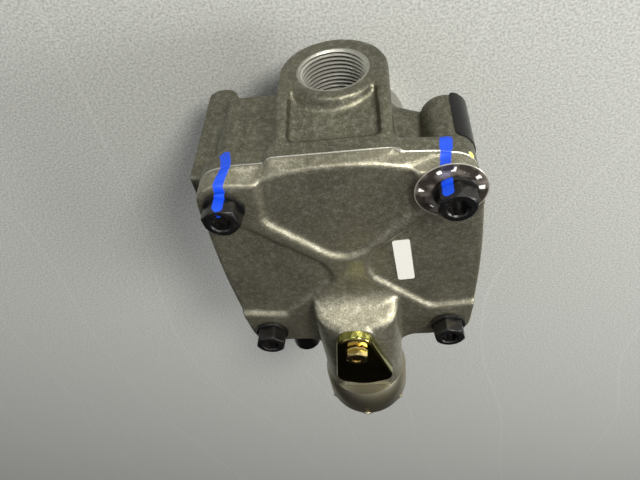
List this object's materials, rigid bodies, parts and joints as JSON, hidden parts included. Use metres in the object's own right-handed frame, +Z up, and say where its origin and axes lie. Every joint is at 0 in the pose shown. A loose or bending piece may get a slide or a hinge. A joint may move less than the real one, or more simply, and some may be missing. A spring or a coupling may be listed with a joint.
{
  "type": "air brake relay valve",
  "caption": "Cast aluminium air brake relay valve with bolted ribbed cover, side supply port, zinc service fitting and a piston, valve and check shuttle that slide inside.",
  "frame": {"origin": "centre of the outline on the plane that the exhaust neck stands on", "axes": "+Z up along the piston axis towards the cover, +Y out of the supply port, -Y out of the service fitting, -X out of the flat port slab"},
  "size_m": [0.1118, 0.1618, 0.1181],
  "materials": {
    "cast_aluminium": "as-cast, tumbled",
    "black_steel": "black phosphate",
    "yellow_zinc": "bright zinc with yellow chromate",
    "machined_aluminium": "machined",
    "brass": "machined",
    "spring_steel": "drawn wire",
    "nitrile_rubber": "moulded",
    "moulded_nylon": "moulded",
    "tag_foil": "printed foil",
    "white_paper": "matt label stock",
    "black_film": "gloss film"
  },
  "bodies": {
    "housing": {"valve_body": "cast_aluminium", "valve_cover": "cast_aluminium", "cover_bolt_1": "black_steel", "cover_bolt_2": "black_steel", "cover_bolt_3": "black_steel", "cover_bolt_4": "black_steel", "lock_washer_1": "black_steel", "lock_washer_2": "black_steel", "lock_washer_3": "black_steel", "lock_washer_4": "black_steel", "port_plug": "black_steel", "service_fitting": "yellow_zinc", "balance_port_shield": "yellow_zinc", "shield_screw": "yellow_zinc", "diaphragm_screw": "yellow_zinc", "diaphragm_washer": "yellow_zinc", "valve_spring": "spring_steel", "exhaust_snap_ring": "spring_steel", "cover_seal": "nitrile_rubber", "retainer_seal": "nitrile_rubber", "sleeve_seal": "nitrile_rubber", "fitting_seal": "nitrile_rubber", "exhaust_diaphragm": "nitrile_rubber", "valve_retainer": "moulded_nylon", "exhaust_cover": "moulded_nylon", "identification_tag": "tag_foil", "cover_label": "white_paper", "side_label": "black_film"},
    "piston": {"relay_piston": "machined_aluminium", "piston_seal": "nitrile_rubber"},
    "valve": {"inlet_exhaust_valve": "brass", "valve_face": "nitrile_rubber"},
    "shuttle": {"check_shuttle": "moulded_nylon"}
  },
  "joints": [
    {"name": "piston_slide", "type": "slide", "parent": "housing", "child": "piston", "axis": [0, 0, -1], "range_m": [0, 0.0036]},
    {"name": "valve_slide", "type": "slide", "parent": "housing", "child": "valve", "axis": [0, 0, -1], "range_m": [0, 0.0018], "stiffness_N_per_m": 2500, "springref_m": -0.004, "deforming": ["valve_spring"]},
    {"name": "shuttle_slide", "type": "slide", "parent": "housing", "child": "shuttle", "axis": [0, 1, 0], "range_m": [0, 0.011]}
  ],
  "couplings": [
    {"joint": "valve_slide", "follows": "piston_slide", "ratio": 0.5}
  ]
}
